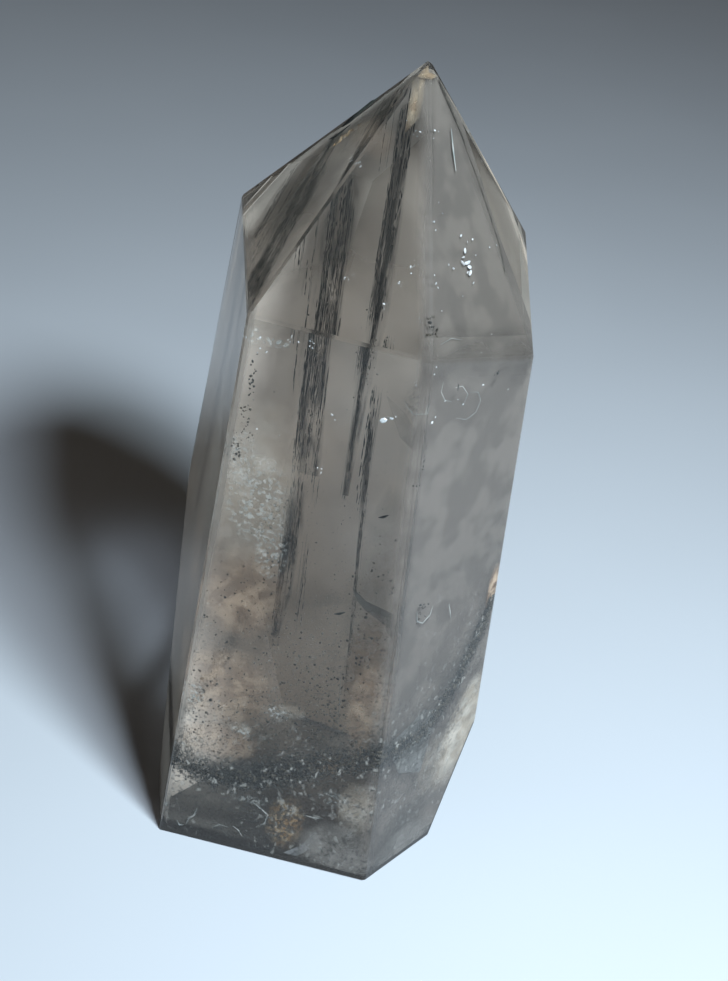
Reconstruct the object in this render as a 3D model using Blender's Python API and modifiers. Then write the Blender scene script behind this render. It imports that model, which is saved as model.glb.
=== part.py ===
"""Tourmalinated quartz point, polished and free-standing, about 100 mm tall.

The quartz is one blank of stone ground flat on fifteen sides. Two bundles of tourmaline needles
run down inside it from the polished back face near the tip, each in a slot of its own form. Low
down, a dark phantom band marks where the tip stood when the crystal was younger.
Metres, +Z up, origin at the centre of the foot, the widest polished face towards -Y.
"""
import math

import bmesh
import bpy
from mathutils import Matrix, Vector

MM = 0.001

# Corners of the quartz in millimetres, named as seen from the front
TIP = (1.96, 0.38, 99.54)

SHOULDER_LEFT = (-10.32, -18.13, 76.30)
SHOULDER_FRONT = (9.00, -18.17, 75.48)
SHOULDER_RIGHT = (19.04, -4.02, 70.92)
SHOULDER_RIGHT_REAR = (15.11, 9.27, 79.50)
SHOULDER_REAR = (2.57, 13.03, 83.73)
SHOULDER_LEFT_REAR = (-4.95, 16.35, 71.78)
SHOULDER_LEFT_SIDE = (-16.43, 0.28, 81.00)

BELLY_LEFT = (-22.38, 6.89, 37.63)
BELLY_RIGHT = (22.38, -5.87, 16.99)
BELLY_RIGHT_REAR = (17.28, 12.89, 20.62)
BELLY_LEFT_REAR = (-12.32, 22.13, 25.78)

FOOT_LEFT = (-15.26, -22.13, 0.0)
FOOT_FRONT = (12.74, -22.13, 0.0)
FOOT_RIGHT = (19.68, -11.95, 0.0)
FOOT_LEFT_SIDE = (-18.27, -13.60, 0.0)

# Each polished face is ground through three of those corners
FACES = {
    "front_left": (FOOT_LEFT, FOOT_FRONT, SHOULDER_FRONT),
    "front_right": (FOOT_FRONT, FOOT_RIGHT, SHOULDER_FRONT),
    "right": (SHOULDER_RIGHT, BELLY_RIGHT, SHOULDER_RIGHT_REAR),
    "left": (FOOT_LEFT, SHOULDER_LEFT, SHOULDER_LEFT_SIDE),
    "rear_left": (SHOULDER_LEFT_SIDE, SHOULDER_LEFT_REAR, BELLY_LEFT_REAR),
    "rear_right": (SHOULDER_RIGHT_REAR, SHOULDER_LEFT_REAR, BELLY_LEFT_REAR),
    "tip_left": (TIP, SHOULDER_LEFT, SHOULDER_LEFT_SIDE),
    "tip_front_left": (TIP, SHOULDER_LEFT, SHOULDER_FRONT),
    "tip_front_right": (TIP, SHOULDER_FRONT, SHOULDER_RIGHT),
    "tip_right": (TIP, SHOULDER_RIGHT, SHOULDER_RIGHT_REAR),
    "tip_rear_right": (TIP, SHOULDER_RIGHT_REAR, SHOULDER_REAR),
    "tip_rear_left": (TIP, SHOULDER_LEFT_SIDE, SHOULDER_LEFT_REAR),
    "bevel_left": (BELLY_LEFT, FOOT_LEFT_SIDE, BELLY_LEFT_REAR),
    "bevel_right": (BELLY_RIGHT, FOOT_RIGHT, BELLY_RIGHT_REAR),
}
BLANK_WIDTH = 60.0
BLANK_HEIGHT = 110.0
SAME_POINT = 0.03       # corners nearer than this count as one when a face is ground
POLISH_ROUND = 0.22     # width of the softened edges

# Tourmaline needles, in millimetres: x and y are on the level of BUNDLE_LEVEL
BUNDLE_LEVEL = 50.0
NEEDLE_TOP = 100.0      # above every face, so a bundle is ground off with the quartz
SLOT_GAP = 0.35
SLOT_OVERRUN = 6.0

LEFT_CENTRE = (-4.95, 7.87)
LEFT_RUN = (0.0, -0.135)        # sideways travel for each millimetre up
LEFT_WIDTH = (-1.5, 1.3)
LEFT_ENDS = (19.0, 62.0)        # lower ends, from the left needle to the right one
LEFT_COUNT = 11
LEFT_RADIUS = 0.36

RIGHT_CENTRE = (0.82, 7.17)
RIGHT_RUN = (-0.0085, -0.09)
RIGHT_WIDTH = (-0.5, 0.35)
RIGHT_ENDS = (45.0, 55.0)
RIGHT_COUNT = 4
RIGHT_RADIUS = 0.34

FORK_CENTRE = (3.0, 7.22)
FORK_RUN = (-0.052, -0.09)
FORK_WIDTH = (-0.3, 0.3)
FORK_ENDS = (9.5, 26.0)
FORK_COUNT = 3
FORK_RADIUS = 0.32

# Margin of the phantom round the crystal, just under its faces: the bearing in degrees from +X,
# anticlockwise from above, then the height of the band's middle and half its own height
PHANTOM_MARGIN = (
    (190, 13.5, 1.2), (211, 13.0, 1.2), (234, 12.8, 1.3), (245, 11.2, 1.5), (256, 11.9, 1.7),
    (269, 14.4, 2.0), (282, 17.4, 2.3), (292, 19.6, 2.4), (300, 20.9, 2.3), (310, 20.3, 2.1),
    (320, 20.9, 2.2), (332, 25.0, 2.6), (342, 31.9, 2.8), (350, 37.5, 2.4), (370, 41.0, 1.3),
    (387, 38.0, 1.3), (413, 33.0, 1.3), (443, 28.0, 1.3), (468, 24.0, 1.3), (492, 20.0, 1.3),
    (521, 16.0, 1.2),
)
PHANTOM_REACH = (10.0, 30.0)    # the belt runs from well inside the quartz to outside it
PHANTOM_DEPTH = 1.5             # how far in from the polished faces the band reaches
PHANTOM_COVER = 0.12            # clear quartz left between the band and the polished face
PHANTOM_GAP = 0.35


def clear_objects():
    for obj in list(bpy.data.objects):
        bpy.data.objects.remove(obj, do_unlink=True)


def collection(name):
    group = bpy.data.collections.new(name)
    bpy.context.scene.collection.children.link(group)
    return group


def material(name, colour, roughness, metallic=0.0, transmission=0.0, ior=1.5):
    mat = bpy.data.materials.new(name)
    mat.use_nodes = True
    shader = mat.node_tree.nodes["Principled BSDF"]
    shader.inputs["Base Color"].default_value = (*colour, 1.0)
    shader.inputs["Roughness"].default_value = roughness
    shader.inputs["Metallic"].default_value = metallic
    shader.inputs["Transmission Weight"].default_value = transmission
    shader.inputs["IOR"].default_value = ior
    return mat


def add_object(bm, name, group, mat=None):
    mesh = bpy.data.meshes.new(name)
    bm.to_mesh(mesh)
    bm.free()
    obj = bpy.data.objects.new(name, mesh)
    group.objects.link(obj)
    if mat is not None:
        mesh.materials.append(mat)
    else:
        obj.hide_render = True
        obj.display_type = "WIRE"
    return obj


def grind(bm, corners, inset=0.0):
    """Take off all that lies outside the plane through three corners, moved in by the inset."""
    a, b, c = (Vector(p) * MM for p in corners)
    outward = (b - a).cross(c - a).normalized()
    heart = Vector((0.0, 0.0, 45.0)) * MM
    if outward.dot(heart - a) > 0.0:
        outward.negate()
    place = a - outward * inset * MM
    geom = bm.verts[:] + bm.edges[:] + bm.faces[:]
    cut = bmesh.ops.bisect_plane(bm, geom=geom, dist=SAME_POINT * MM, plane_co=place,
                                 plane_no=outward, clear_outer=True)
    rim = [e for e in cut["geom_cut"] if isinstance(e, bmesh.types.BMEdge) and e.is_boundary]
    bmesh.ops.edgeloop_fill(bm, edges=rim)
    bmesh.ops.recalc_face_normals(bm, faces=bm.faces[:])


def raw_blank():
    bm = bmesh.new()
    size = Matrix.Diagonal((BLANK_WIDTH * MM, BLANK_WIDTH * MM, BLANK_HEIGHT * MM, 1.0))
    place = Matrix.Translation((0.0, 0.0, BLANK_HEIGHT * MM / 2.0))
    bmesh.ops.create_cube(bm, size=1.0, matrix=place @ size)
    return bm


def ground_quartz():
    bm = raw_blank()
    for corners in FACES.values():
        grind(bm, corners)
    return bm


def ground_sides(inset):
    """The crystal without its tip faces, its sides moved in."""
    bm = raw_blank()
    for name, corners in FACES.items():
        if not name.startswith("tip"):
            grind(bm, corners, inset)
    return bm


def phantom_belt(gap):
    """A flat belt that rises and falls round the crystal with the phantom's margin."""
    bm = bmesh.new()
    rings = []
    for bearing, height, half in PHANTOM_MARGIN:
        out = Vector((math.cos(math.radians(bearing)), math.sin(math.radians(bearing)), 0.0))
        corners = ((PHANTOM_REACH[0], -half - gap), (PHANTOM_REACH[0], half + gap),
                   (PHANTOM_REACH[1], half + gap), (PHANTOM_REACH[1], -half - gap))
        rings.append([bm.verts.new((out * reach + Vector((0.0, 0.0, height + rise))) * MM)
                      for reach, rise in corners])
    for ring, following in zip(rings, rings[1:] + rings[:1]):
        for k in range(4):
            bm.faces.new((ring[k], following[k], following[(k + 1) % 4], ring[(k + 1) % 4]))
    bmesh.ops.triangulate(bm, faces=bm.faces[:], quad_method="FIXED")
    bmesh.ops.recalc_face_normals(bm, faces=bm.faces[:])
    return bm


def needle_line(centre, run, dx, dy, z):
    lift = z - BUNDLE_LEVEL
    return Vector((centre[0] + dx + run[0] * lift, centre[1] + dy + run[1] * lift, z)) * MM


def add_needle(bm, foot, head, radius, taper, turn, sides=6):
    """One prism from foot to head, finer at its foot."""
    along = head - foot
    spin = along.to_track_quat("Z", "Y").to_matrix().to_4x4() @ Matrix.Rotation(turn, 4, "Z")
    bmesh.ops.create_cone(bm, cap_ends=True, segments=sides, radius1=radius * taper,
                          radius2=radius, depth=along.length,
                          matrix=Matrix.Translation((foot + head) / 2.0) @ spin)


def needles(centre, run, width, ends, count, radius):
    """Feet, heads, radii and turns of a bundle whose needles stand in two staggered rows."""
    for i in range(count):
        share = i / (count - 1)
        dx = width[0] + (width[1] - width[0]) * share
        dy = 0.22 if i % 2 else -0.22
        foot_z = ends[0] + (ends[1] - ends[0]) * share ** 0.7 + 2.5 * math.sin(2.3 * i)
        spread = 0.25 * math.sin(1.7 * i + 0.5)
        foot = needle_line(centre, run, dx, dy + spread, foot_z)
        head = needle_line(centre, run, dx * 0.9, dy, NEEDLE_TOP)
        yield foot, head, (radius + 0.05 * math.sin(3.1 * i)) * MM, 0.35 * i


def unite(target, others, operation="UNION"):
    """Boolean others into target and make the result target's own mesh."""
    for other in others:
        mod = target.modifiers.new(operation.lower(), "BOOLEAN")
        mod.operation = operation
        mod.solver = "EXACT"
        mod.object = other
    graph = bpy.context.evaluated_depsgraph_get()
    mesh = bpy.data.meshes.new_from_object(target.evaluated_get(graph))
    target.modifiers.clear()
    old = target.data
    target.data = mesh
    bpy.data.meshes.remove(old)


def bundle(name, groups, blank, parts, shapes, mat):
    """Fuse the needles of all groups into one body, ground off flush with the quartz."""
    pieces = []
    for group in groups:
        for foot, head, radius, turn in needles(*group):
            bm = bmesh.new()
            add_needle(bm, foot, head, radius, 0.55, turn)
            owner = shapes if pieces else parts
            pieces.append(add_object(bm, name if not pieces else name + "_needle", owner, mat))
    first, rest = pieces[0], pieces[1:]
    unite(first, rest)
    unite(first, [blank], "INTERSECT")
    for piece in rest:
        bpy.data.objects.remove(piece, do_unlink=True)
    return first


def slot(name, groups, shapes):
    """The hollow that a bundle lies in: the hulls of its needles, wider by the gap."""
    hulls = []
    for group in groups:
        bm = bmesh.new()
        for foot, head, radius, turn in needles(*group):
            along = (head - foot).normalized() * MM
            add_needle(bm, foot - along * SLOT_GAP, head + along * SLOT_OVERRUN,
                       radius + SLOT_GAP * 1.2 * MM, 1.0, turn, 8)
        bmesh.ops.delete(bm, geom=bm.edges[:], context="EDGES_FACES")
        bmesh.ops.convex_hull(bm, input=bm.verts[:])
        bmesh.ops.delete(bm, geom=[v for v in bm.verts if not v.link_faces], context="VERTS")
        bmesh.ops.recalc_face_normals(bm, faces=bm.faces[:])
        hulls.append(add_object(bm, name, shapes))
    return hulls


def phantom_ring(name, group, shapes, cover, depth, gap, mat=None):
    """What the belt takes up between two depths under the polished faces."""
    ring = add_object(phantom_belt(gap), name, group, mat)
    skin = add_object(ground_sides(cover), name + "_skin", shapes)
    core = add_object(ground_sides(depth), name + "_core", shapes)
    unite(ring, [core], "DIFFERENCE")
    unite(ring, [skin], "INTERSECT")
    bpy.data.objects.remove(skin, do_unlink=True)
    bpy.data.objects.remove(core, do_unlink=True)
    return ring


def build():
    clear_objects()
    parts = collection("tourmalinated_quartz_point")
    shapes = collection("cutting_shapes")
    quartz_mat = material("quartz", (0.80, 0.80, 0.77), 0.04, transmission=1.0, ior=1.544)
    schorl_mat = material("tourmaline", (0.035, 0.042, 0.036), 0.35)
    phantom_mat = material("phantom", (0.10, 0.11, 0.10), 0.7)

    blank = add_object(ground_quartz(), "quartz_blank", shapes)

    left = (LEFT_CENTRE, LEFT_RUN, LEFT_WIDTH, LEFT_ENDS, LEFT_COUNT, LEFT_RADIUS)
    right = (RIGHT_CENTRE, RIGHT_RUN, RIGHT_WIDTH, RIGHT_ENDS, RIGHT_COUNT, RIGHT_RADIUS)
    fork = (FORK_CENTRE, FORK_RUN, FORK_WIDTH, FORK_ENDS, FORK_COUNT, FORK_RADIUS)
    bundle("tourmaline_bundle_left", [left], blank, parts, shapes, schorl_mat)
    bundle("tourmaline_bundle_right", [right, fork], blank, parts, shapes, schorl_mat)

    phantom_ring("phantom_band", parts, shapes, PHANTOM_COVER, PHANTOM_DEPTH, 0.0, phantom_mat)
    groove = phantom_ring("phantom_groove", shapes, shapes, -2.0, PHANTOM_DEPTH + PHANTOM_GAP,
                          PHANTOM_GAP * 1.6)

    quartz = add_object(ground_quartz(), "quartz_point", parts, quartz_mat)
    edges = quartz.modifiers.new("polished edges", "BEVEL")
    edges.width = POLISH_ROUND * MM
    edges.segments = 2
    edges.limit_method = "ANGLE"
    edges.angle_limit = math.radians(5.0)
    slots = slot("slot_left", [left], shapes) + slot("slot_right", [right, fork], shapes)
    for hollow in slots + [groove]:
        cut = quartz.modifiers.new(hollow.name, "BOOLEAN")
        cut.operation = "DIFFERENCE"
        cut.solver = "EXACT"
        cut.object = hollow


build()
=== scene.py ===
import math

import bmesh
import bpy
import numpy as np
from mathutils import Matrix, Vector, noise


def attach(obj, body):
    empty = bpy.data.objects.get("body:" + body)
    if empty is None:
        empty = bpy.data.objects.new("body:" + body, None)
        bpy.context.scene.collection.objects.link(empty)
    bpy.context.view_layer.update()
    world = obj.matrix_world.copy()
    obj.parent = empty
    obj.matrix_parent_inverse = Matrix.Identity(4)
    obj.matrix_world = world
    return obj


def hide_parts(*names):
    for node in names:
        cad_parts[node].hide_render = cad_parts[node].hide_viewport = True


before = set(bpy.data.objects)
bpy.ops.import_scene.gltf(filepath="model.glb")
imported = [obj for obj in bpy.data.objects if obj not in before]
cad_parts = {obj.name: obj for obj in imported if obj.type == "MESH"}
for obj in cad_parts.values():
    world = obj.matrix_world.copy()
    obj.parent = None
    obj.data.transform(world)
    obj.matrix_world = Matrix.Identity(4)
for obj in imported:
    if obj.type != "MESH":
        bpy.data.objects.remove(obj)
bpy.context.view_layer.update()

MM = 0.001
SEED = 4120

# Corners of the polished quartz in millimetres, named as seen from the front
TIP = (1.96, 0.38, 99.54)
SHOULDER_LEFT = (-10.32, -18.13, 76.30)
SHOULDER_FRONT = (9.00, -18.17, 75.48)
SHOULDER_RIGHT = (19.04, -4.02, 70.92)
SHOULDER_RIGHT_REAR = (15.11, 9.27, 79.50)
SHOULDER_REAR = (2.57, 13.03, 83.73)
SHOULDER_LEFT_REAR = (-4.95, 16.35, 71.78)
SHOULDER_LEFT_SIDE = (-16.43, 0.28, 81.00)
BELLY_LEFT = (-22.38, 6.89, 37.63)
BELLY_RIGHT = (22.38, -5.87, 16.99)
BELLY_RIGHT_REAR = (17.28, 12.89, 20.62)
BELLY_LEFT_REAR = (-12.32, 22.13, 25.78)
FOOT_LEFT = (-15.26, -22.13, 0.0)
FOOT_FRONT = (12.74, -22.13, 0.0)
FOOT_RIGHT = (19.68, -11.95, 0.0)
FOOT_LEFT_SIDE = (-18.27, -13.60, 0.0)

FACES = (
    (FOOT_LEFT, FOOT_FRONT, SHOULDER_FRONT),
    (FOOT_FRONT, FOOT_RIGHT, SHOULDER_FRONT),
    (SHOULDER_RIGHT, BELLY_RIGHT, SHOULDER_RIGHT_REAR),
    (FOOT_LEFT, SHOULDER_LEFT, SHOULDER_LEFT_SIDE),
    (SHOULDER_LEFT_SIDE, SHOULDER_LEFT_REAR, BELLY_LEFT_REAR),
    (SHOULDER_RIGHT_REAR, SHOULDER_LEFT_REAR, BELLY_LEFT_REAR),
    (TIP, SHOULDER_LEFT, SHOULDER_LEFT_SIDE),
    (TIP, SHOULDER_LEFT, SHOULDER_FRONT),
    (TIP, SHOULDER_FRONT, SHOULDER_RIGHT),
    (TIP, SHOULDER_RIGHT, SHOULDER_RIGHT_REAR),
    (TIP, SHOULDER_RIGHT_REAR, SHOULDER_REAR),
    (TIP, SHOULDER_LEFT_SIDE, SHOULDER_LEFT_REAR),
    (BELLY_LEFT, FOOT_LEFT_SIDE, BELLY_LEFT_REAR),
    (BELLY_RIGHT, FOOT_RIGHT, BELLY_RIGHT_REAR),
)
# Numbers of the planes: the faces in the order above, then the foot
(FRONT, RIGHT, RIGHT_REAR, LEFT, LEFT_REAR, REAR, TIP_LEFT, TIP_FRONT, TIP_RIGHT, TIP_RIGHT_REAR,
 TIP_REAR, TIP_LEFT_REAR, BEVEL_LEFT, BEVEL_RIGHT, FOOT) = range(15)

# Margin of the phantom, as in the part: bearing in degrees, height of its middle, half its height
PHANTOM_MARGIN = (
    (190, 13.5, 1.2), (211, 13.0, 1.2), (234, 12.8, 1.3), (245, 11.2, 1.5), (256, 11.9, 1.7),
    (269, 14.4, 2.0), (282, 17.4, 2.3), (292, 19.6, 2.4), (300, 20.9, 2.3), (310, 20.3, 2.1),
    (320, 20.9, 2.2), (332, 25.0, 2.6), (342, 31.9, 2.8), (350, 37.5, 2.4), (370, 41.0, 1.3),
    (387, 38.0, 1.3), (413, 33.0, 1.3), (443, 28.0, 1.3), (468, 24.0, 1.3), (492, 20.0, 1.3),
    (521, 16.0, 1.2),
)


def new_object(name, data):
    obj = bpy.data.objects.new(name, data)
    bpy.context.scene.collection.objects.link(obj)
    return obj


def new_piece(name, bm=None):
    mesh = bpy.data.meshes.new(name)
    if bm is not None:
        bm.to_mesh(mesh)
        bm.free()
    return new_object(name, mesh)


def plain_mesh(obj):
    graph = bpy.context.evaluated_depsgraph_get()
    mesh = bpy.data.meshes.new_from_object(obj.evaluated_get(graph))
    obj.modifiers.clear()
    obj.data = mesh
    return obj


def dressed(obj, mat=None):
    if mat is not None:
        obj.data.materials.append(mat)
    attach(obj, "root")
    return obj


def face_plane(corners):
    a, b, c = (Vector(p) * MM for p in corners)
    outward = (b - a).cross(c - a).normalized()
    if outward.dot(HEART - a) > 0.0:
        outward.negate()
    return a, outward


HEART = Vector((0.0, 0.0, 0.045))   # a point well inside the stone
PLANES = [face_plane(corners) for corners in FACES] + [(Vector((0, 0, 0)), Vector((0, 0, -1)))]


def depth_inside(point):
    return min((place - point).dot(outward) for place, outward in PLANES)


def under_faces(bearing, height, inset):
    """The point at a bearing and height that lies the inset under the nearest face."""
    start = Vector((0.0, 0.0, height))
    out = Vector((math.cos(math.radians(bearing)), math.sin(math.radians(bearing)), 0.0))
    reach = min((place / MM - outward * inset - start).dot(outward) / out.dot(outward)
                for place, outward in PLANES if out.dot(outward) > 0.01)
    return start + out * reach


def phantom_margin(step):
    """Bearing, height and half height all round the margin, one row at each step in degrees."""
    first = PHANTOM_MARGIN[0]
    known, heights, halves = zip(*PHANTOM_MARGIN, (first[0] + 360, *first[1:]))
    bearings = np.arange(known[0], known[-1], step)
    return list(zip(bearings, np.interp(bearings, known, heights),
                    np.interp(bearings, known, halves)))


# Points that lie nearer to a cut than this are moved onto it
NEAR_CUT_BLOCK = 0.03 * MM
NEAR_CUT_SHEET = 0.0001 * MM


def cut_off(bm, place, outward, merge):
    """Cuts away what lies outside a plane and gives what the cut made."""
    return bmesh.ops.bisect_plane(bm, geom=bm.verts[:] + bm.edges[:] + bm.faces[:], dist=merge,
                                  plane_co=place, plane_no=outward, clear_outer=True)


def trimmed_sheet(name, bm, inset, mat):
    """Cuts a sheet off where it comes nearer to the faces than the inset, and makes the piece."""
    for place, outward in PLANES:
        cut_off(bm, place - outward * inset * MM, outward, NEAR_CUT_SHEET)
    return dressed(new_piece(name, bm), mat)


# Node trees
def new_group(name, kind, inputs, outputs):
    """An empty node group: its tree, the sockets that it is given and its output node."""
    group = bpy.data.node_groups.new(name, kind)
    for label, value_kind, value in inputs:
        socket = group.interface.new_socket(label, in_out="INPUT",
                                            socket_type="NodeSocket" + value_kind)
        if value is not None:
            socket.default_value = value
    for label, value_kind in outputs:
        group.interface.new_socket(label, in_out="OUTPUT", socket_type="NodeSocket" + value_kind)
    return group, group.nodes.new("NodeGroupInput").outputs, group.nodes.new("NodeGroupOutput")


def fill(tree, node, inputs):
    """Gives a node's inputs their values, or their links where another node's output is named."""
    for key, value in inputs.items():
        if isinstance(value, bpy.types.NodeSocket):
            tree.links.new(value, node.inputs[key])
        else:
            node.inputs[key].default_value = value


def add_node(tree, kind, inputs=None, **settings):
    node = tree.nodes.new(kind)
    for key, setting in settings.items():
        setattr(node, key, setting)
    fill(tree, node, inputs or {})
    return node


def multiply(tree, first, second, clamp=False):
    return add_node(tree, "ShaderNodeMath", {0: first, 1: second}, operation="MULTIPLY",
                    use_clamp=clamp).outputs[0]


# Effects that the materials share
def mottle_group():
    group, given, result = new_group(
        "mottle", "ShaderNodeTree",
        (("Stretch", "Vector", (1.0, 1.0, 1.0)), ("Scale", "Float", 200.0),
         ("Detail", "Float", 2.0), ("Low", "Float", 0.4), ("High", "Float", 0.6)),
        (("Amount", "Float"),))
    coords = add_node(group, "ShaderNodeTexCoord")
    sized = add_node(group, "ShaderNodeVectorMath",
                     {0: coords.outputs["Object"], 1: given["Stretch"]}, operation="MULTIPLY")
    grain = add_node(group, "ShaderNodeTexNoise",
                     {"Vector": sized.outputs[0], "Scale": given["Scale"],
                      "Detail": given["Detail"]})
    spread = add_node(group, "ShaderNodeMapRange",
                      {"Value": grain.outputs["Fac"], "From Min": given["Low"],
                       "From Max": given["High"]}, interpolation_type="SMOOTHSTEP")
    fill(group, result, {"Amount": spread.outputs["Result"]})
    return group


def two_tone_group(mottle):
    group, given, result = new_group(
        "two tone", "ShaderNodeTree",
        (("Stretch", "Vector", (1.0, 1.0, 1.0)), ("Scale", "Float", 300.0),
         ("First", "Color", (0.5, 0.5, 0.5, 1.0)), ("Second", "Color", (0.6, 0.6, 0.6, 1.0))),
        (("Color", "Color"),))
    amount = add_node(group, "ShaderNodeGroup",
                      {"Stretch": given["Stretch"], "Scale": given["Scale"]}, node_tree=mottle)
    mix = add_node(group, "ShaderNodeMix",
                   {"Factor": amount.outputs["Amount"], 6: given["First"], 7: given["Second"]},
                   data_type="RGBA")
    fill(group, result, {"Color": mix.outputs[2]})
    return group


def patchy_cover_group(mottle):
    group, given, result = new_group(
        "patchy cover", "ShaderNodeTree",
        (("Stretch", "Vector", (1.0, 1.0, 1.0)), ("Scale", "Float", 200.0),
         ("Low", "Float", 0.4), ("High", "Float", 0.6),
         ("Thin", "Float", 0.0), ("Thick", "Float", 1.0)),
        (("Alpha", "Float"),))
    cover = add_node(group, "ShaderNodeAttribute", attribute_name="cover")
    amount = add_node(group, "ShaderNodeGroup",
                      {name: given[name] for name in ("Stretch", "Scale", "Low", "High")},
                      node_tree=mottle)
    weight = add_node(group, "ShaderNodeMapRange",
                      {"Value": amount.outputs["Amount"], "To Min": given["Thin"],
                       "To Max": given["Thick"]})
    alpha = multiply(group, weight.outputs["Result"], cover.outputs["Fac"], clamp=True)
    fill(group, result, {"Alpha": alpha})
    return group


def worn_edge_group(mottle):
    group, given, result = new_group(
        "worn edge", "ShaderNodeTree",
        (("Polished", "Float", 0.03), ("Worn", "Float", 0.4), ("Wear Scale", "Float", 300.0)),
        (("Roughness", "Float"),))
    edge = add_node(group, "ShaderNodeAttribute", attribute_name="edge")
    wear = add_node(group, "ShaderNodeGroup",
                    {"Low": 0.2, "High": 0.5, "Scale": given["Wear Scale"]}, node_tree=mottle)
    spread = add_node(group, "ShaderNodeMapRange",
                      {"Value": multiply(group, wear.outputs["Amount"], edge.outputs["Fac"]),
                       "To Min": given["Polished"], "To Max": given["Worn"]})
    fill(group, result, {"Roughness": spread.outputs["Result"]})
    return group


MOTTLE = mottle_group()
TWO_TONE = two_tone_group(MOTTLE)
PATCHY_COVER = patchy_cover_group(MOTTLE)
WORN_EDGE = worn_edge_group(MOTTLE)


def two_tones(mat, first, second, scale, stretch=(1, 1, 1)):
    """Mottles a material's colour between two tones."""
    tree = mat.node_tree
    tone = add_node(tree, "ShaderNodeGroup",
                    {"Scale": scale, "Stretch": stretch, "First": (*first, 1.0),
                     "Second": (*second, 1.0)}, node_tree=TWO_TONE)
    fill(tree, tree.nodes["Principled BSDF"], {"Base Color": tone.outputs["Color"]})


def patchy(scale, low, high, thin, thick, stretch=(1, 1, 1)):
    """How a sheet covers: the scale of its patches, where in the noise they start and are full,
    and the least and the most that they cover."""
    return {"Scale": scale, "Low": low, "High": high, "Thin": thin, "Thick": thick,
            "Stretch": stretch}


def mineral(name, first, second, scale=400.0, rough=0.8, cover=None, stretch=(1, 1, 1)):
    mat = bpy.data.materials.new(name)
    mat.use_nodes = True
    tree = mat.node_tree
    shader = tree.nodes["Principled BSDF"]
    two_tones(mat, first, second, scale, stretch)
    fill(tree, shader, {"Roughness": rough})
    if cover:
        alpha = add_node(tree, "ShaderNodeGroup", cover, node_tree=PATCHY_COVER)
        fill(tree, shader, {"Alpha": alpha.outputs["Alpha"]})
    return mat


# The quartz
ROUGH_BLOCK = (0.06, 0.06, 0.11)
BEVEL_WIDTH = 0.22
SLIM_FACE = 40.0                    # faces under this area, in square millimetres, are bevels
QUARTZ_IOR = 1.544
LAMP_WAY = (0.651, -0.759, 1.127)   # level direction towards the window, and its rise
# Where the core starts and where it is full, in millimetres: across that way, then from below
# and from above
CORE_ACROSS, CORE_BELOW, CORE_ABOVE = (-19.0, -9.0), (10.0, 30.0), (66.0, 50.0)
# Light that passes through to the table: at the stone's rim, at its core, and on its way out
SHADOW_RIM = (0.030, 0.026, 0.024, 1.0)
SHADOW_CORE = (0.60, 0.61, 0.64, 1.0)
WAY_OUT = (1.0, 0.99, 0.97, 1.0)


def quartz_blank():
    bm = bmesh.new()
    bmesh.ops.create_cube(bm, size=1.0, matrix=Matrix.Translation((0, 0, ROUGH_BLOCK[2] / 2))
                          @ Matrix.Diagonal((*ROUGH_BLOCK, 1.0)))
    for place, outward in PLANES[:-1]:
        cut = cut_off(bm, place, outward, NEAR_CUT_BLOCK)
        rim = [e for e in cut["geom_cut"]
               if isinstance(e, bmesh.types.BMEdge) and e.is_boundary]
        bmesh.ops.edgeloop_fill(bm, edges=rim)
        bmesh.ops.recalc_face_normals(bm, faces=bm.faces[:])
    return bm


def ramp(tree, source, low, high):
    return add_node(tree, "ShaderNodeMapRange",
                    {"Value": source, "From Min": low * MM, "From Max": high * MM},
                    interpolation_type="SMOOTHSTEP").outputs["Result"]


def along(tree, source, way):
    return add_node(tree, "ShaderNodeVectorMath", {0: source, 1: way},
                    operation="DOT_PRODUCT").outputs["Value"]


def light_let_through(tree):
    """Colour of the light that the stone passes on to the table: least at its rim, tip and foot."""
    spot = add_node(tree, "ShaderNodeTexCoord").outputs["Object"]
    side, away, rise = LAMP_WAY
    across = along(tree, spot, (-away, side, 0.0))
    up = along(tree, spot, (-side * rise, -away * rise, 1.0))
    core = multiply(tree, ramp(tree, across, *CORE_ACROSS),
                    multiply(tree, ramp(tree, up, *CORE_BELOW), ramp(tree, up, *CORE_ABOVE)))
    tone = add_node(tree, "ShaderNodeMix", {"Factor": core, 6: SHADOW_RIM, 7: SHADOW_CORE},
                    data_type="RGBA")
    inside = add_node(tree, "ShaderNodeNewGeometry")
    return add_node(tree, "ShaderNodeMix",
                    {"Factor": inside.outputs["Backfacing"], 6: tone.outputs[2], 7: WAY_OUT},
                    data_type="RGBA").outputs[2]


def quartz_material():
    mat = bpy.data.materials.new("polished_quartz")
    mat.use_nodes = True
    tree = mat.node_tree
    shader = tree.nodes["Principled BSDF"]
    two_tones(mat, (0.84, 0.84, 0.82), (0.90, 0.89, 0.87), 60.0)
    wear = add_node(tree, "ShaderNodeGroup", {"Polished": 0.03, "Worn": 0.14},
                    node_tree=WORN_EDGE)
    fill(tree, shader, {"IOR": QUARTZ_IOR, "Transmission Weight": 0.988,
                        "Specular Tint": (0.5, 0.5, 0.5, 1.0),
                        "Roughness": wear.outputs["Roughness"]})
    path = add_node(tree, "ShaderNodeLightPath")
    either = add_node(tree, "ShaderNodeMath",
                      {0: path.outputs["Is Shadow Ray"], 1: path.outputs["Is Diffuse Ray"]},
                      operation="ADD")
    open_way = add_node(tree, "ShaderNodeBsdfTransparent", {"Color": light_let_through(tree)})
    mix = add_node(tree, "ShaderNodeMixShader",
                   {0: either.outputs[0], 1: shader.outputs[0], 2: open_way.outputs[0]})
    volume = add_node(tree, "ShaderNodeVolumeAbsorption",
                      {"Color": (0.805, 0.785, 0.775, 1.0), "Density": 16.0})
    fill(tree, tree.nodes["Material Output"],
         {"Surface": mix.outputs[0], "Volume": volume.outputs["Volume"]})
    return mat


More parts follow.
